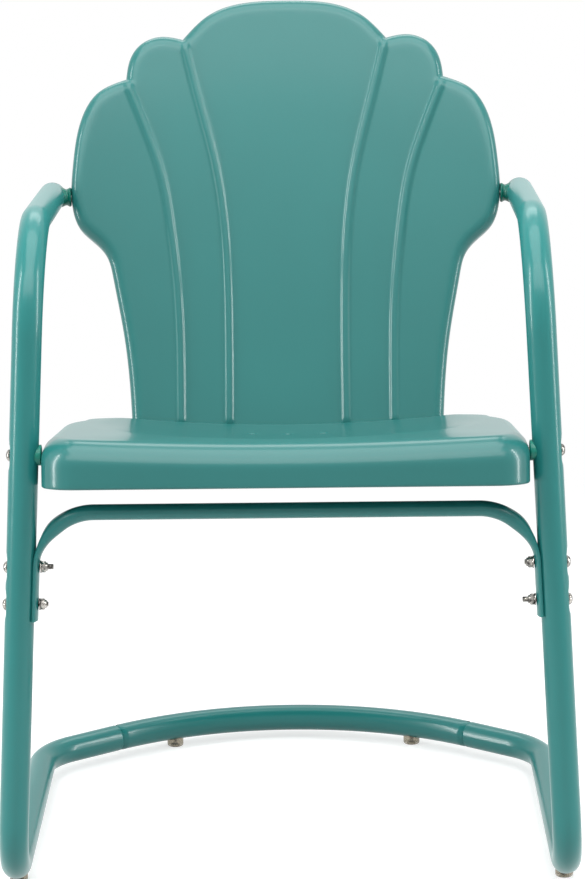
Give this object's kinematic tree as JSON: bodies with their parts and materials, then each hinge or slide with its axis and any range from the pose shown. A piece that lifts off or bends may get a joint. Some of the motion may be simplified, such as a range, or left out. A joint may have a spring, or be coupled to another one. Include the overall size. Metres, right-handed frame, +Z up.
{
  "type": "spring lawn chair",
  "caption": "Cantilever metal lawn armchair: scalloped stamped back, dished seat pan, two bent side tubes with arms, arched brace and bowed rear base bar.",
  "frame": {"origin": "on the floor, under the middle of the chair's bounding box", "axes": "+Z up, the sitter faces -Y, +X is the sitter's left hand side"},
  "size_m": [0.6034, 0.6074, 0.8821],
  "materials": {
    "frame_paint": "semi-gloss",
    "panel_paint": "semi-gloss",
    "spacer_green": "gloss",
    "spacer_dark": "gloss",
    "plug": "matte",
    "glide": "clear",
    "zinc": "zinc plated"
  },
  "bodies": {
    "base": {"crossbar_screws": "zinc", "foot_screws": "zinc", "left_base_runner_tube": "frame_paint", "left_front_foot": "glide", "left_rear_foot": "glide", "rear_crossbar": "frame_paint", "right_base_runner_tube": "frame_paint", "right_front_foot": "glide", "right_rear_foot": "glide"},
    "seat_frame": {"arm_bolts": "zinc", "arm_inserts": "zinc", "back_bolts": "zinc", "back_nuts": "zinc", "back_shell": "panel_paint", "brace_bolts": "zinc", "brace_nuts": "zinc", "brace_washers": "zinc", "left_arm_end_plug": "plug", "left_arm_spacer": "spacer_dark", "left_leg_and_arm_tube": "frame_paint", "left_seat_spacer": "spacer_green", "right_arm_end_plug": "plug", "right_arm_spacer": "spacer_dark", "right_leg_and_arm_tube": "frame_paint", "right_seat_spacer": "spacer_green", "seat_bolts": "zinc", "seat_brace": "frame_paint", "seat_nuts": "zinc", "seat_pan": "panel_paint"}
  },
  "joints": [
    {"name": "spring_flex", "type": "hinge", "parent": "base", "child": "seat_frame", "pos_m": [0, -0.23226, 0.04201], "axis": [-1, 0, 0], "range_deg": [-1.5, 5], "stiffness_Nm_per_rad": 2400, "springref_deg": -0.34}
  ]
}
